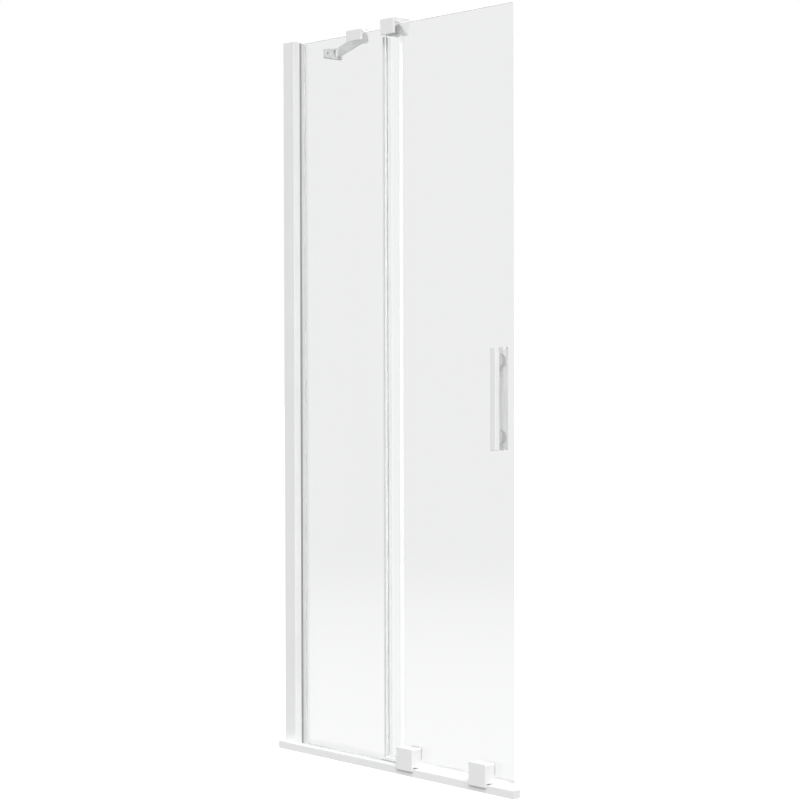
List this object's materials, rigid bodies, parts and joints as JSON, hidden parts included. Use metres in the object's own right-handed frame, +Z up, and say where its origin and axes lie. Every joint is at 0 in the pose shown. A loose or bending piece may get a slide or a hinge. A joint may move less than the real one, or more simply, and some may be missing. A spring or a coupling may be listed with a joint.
{
  "type": "sliding bath screen",
  "caption": "Two-pane glass bath screen: a fixed pane in a wall profile and a pane that rolls along a rail on the bath rim.",
  "frame": {"origin": "centre of the bottom rail's underside, on the bath rim", "axes": "+X along the screen away from the wall, +Y into the bath, +Z up"},
  "size_m": [0.7, 0.1823, 1.5074],
  "materials": {
    "white_powder_coat": "satin white powder coat",
    "white_plastic": "satin moulded white",
    "clear_glass": "clear toughened, polished edges",
    "grey_rubber": "matte",
    "seal_vinyl": "soft grey",
    "clear_vinyl": "clear soft vinyl",
    "nylon": "matte natural",
    "steel": "fine satin",
    "mill_aluminium": "mill"
  },
  "bodies": {
    "fixed_screen": {"arm_bar": "white_powder_coat", "arm_clamp_body": "white_powder_coat", "arm_clamp_pads": "nylon", "arm_clamp_screws": "steel", "arm_pins": "white_powder_coat", "arm_wall_foot": "white_powder_coat", "bottom_rail": "white_powder_coat", "bottom_seat": "white_powder_coat", "fixed_glass": "clear_glass", "glazing_gasket_back": "white_plastic", "glazing_gasket_front": "grey_rubber", "guide_body": "white_powder_coat", "guide_glass_pads": "nylon", "guide_liner_back": "nylon", "guide_liner_front": "nylon", "guide_set_screw": "steel", "profile_lock_screws": "steel", "profile_top_cap": "white_plastic", "rail_end_cap_left": "white_plastic", "rail_end_cap_right": "white_plastic", "seat_end_cap": "white_plastic", "setting_blocks": "nylon", "wall_channel": "mill_aluminium", "wall_profile": "white_powder_coat"},
    "sliding_pane": {"sliding_glass": "clear_glass", "pane_edge_seal": "seal_vinyl", "pane_edge_fin": "clear_vinyl", "pane_stop": "nylon", "bottom_seal": "clear_vinyl", "handle_outer": "white_powder_coat", "handle_inner": "white_powder_coat", "handle_studs": "steel", "handle_bushes": "nylon", "handle_discs": "nylon", "carrier_pads": "nylon", "back_pads": "nylon", "clamp_screws": "steel", "wheel_axles": "steel", "skirt_pads": "nylon", "roller_cover_left": "white_plastic", "roller_carrier_left": "steel", "back_plate_left": "white_powder_coat", "roller_cover_right": "white_plastic", "roller_carrier_right": "steel", "back_plate_right": "white_powder_coat"},
    "left_inner_wheel": {"wheel_left_inner": "nylon"},
    "left_outer_wheel": {"wheel_left_outer": "nylon"},
    "right_inner_wheel": {"wheel_right_inner": "nylon"},
    "right_outer_wheel": {"wheel_right_outer": "nylon"}
  },
  "joints": [
    {"name": "pane_slide", "type": "slide", "parent": "fixed_screen", "child": "sliding_pane", "axis": [-1, 0, 0], "range_m": [0, 0.28]},
    {"name": "left_inner_wheel_spin", "type": "hinge", "parent": "sliding_pane", "child": "left_inner_wheel", "pos_m": [0.0403, -0.00125, 0.0253], "axis": [0, 1, 0], "continuous": true},
    {"name": "left_outer_wheel_spin", "type": "hinge", "parent": "sliding_pane", "child": "left_outer_wheel", "pos_m": [0.0613, -0.00125, 0.0253], "axis": [0, 1, 0], "continuous": true},
    {"name": "right_inner_wheel_spin", "type": "hinge", "parent": "sliding_pane", "child": "right_inner_wheel", "pos_m": [0.2467, -0.00125, 0.0253], "axis": [0, 1, 0], "continuous": true},
    {"name": "right_outer_wheel_spin", "type": "hinge", "parent": "sliding_pane", "child": "right_outer_wheel", "pos_m": [0.2677, -0.00125, 0.0253], "axis": [0, 1, 0], "continuous": true}
  ],
  "couplings": [
    {"joint": "left_inner_wheel_spin", "follows": "pane_slide", "rad_per_m": -105.26},
    {"joint": "left_outer_wheel_spin", "follows": "pane_slide", "rad_per_m": -105.26},
    {"joint": "right_inner_wheel_spin", "follows": "pane_slide", "rad_per_m": -105.26},
    {"joint": "right_outer_wheel_spin", "follows": "pane_slide", "rad_per_m": -105.26}
  ]
}
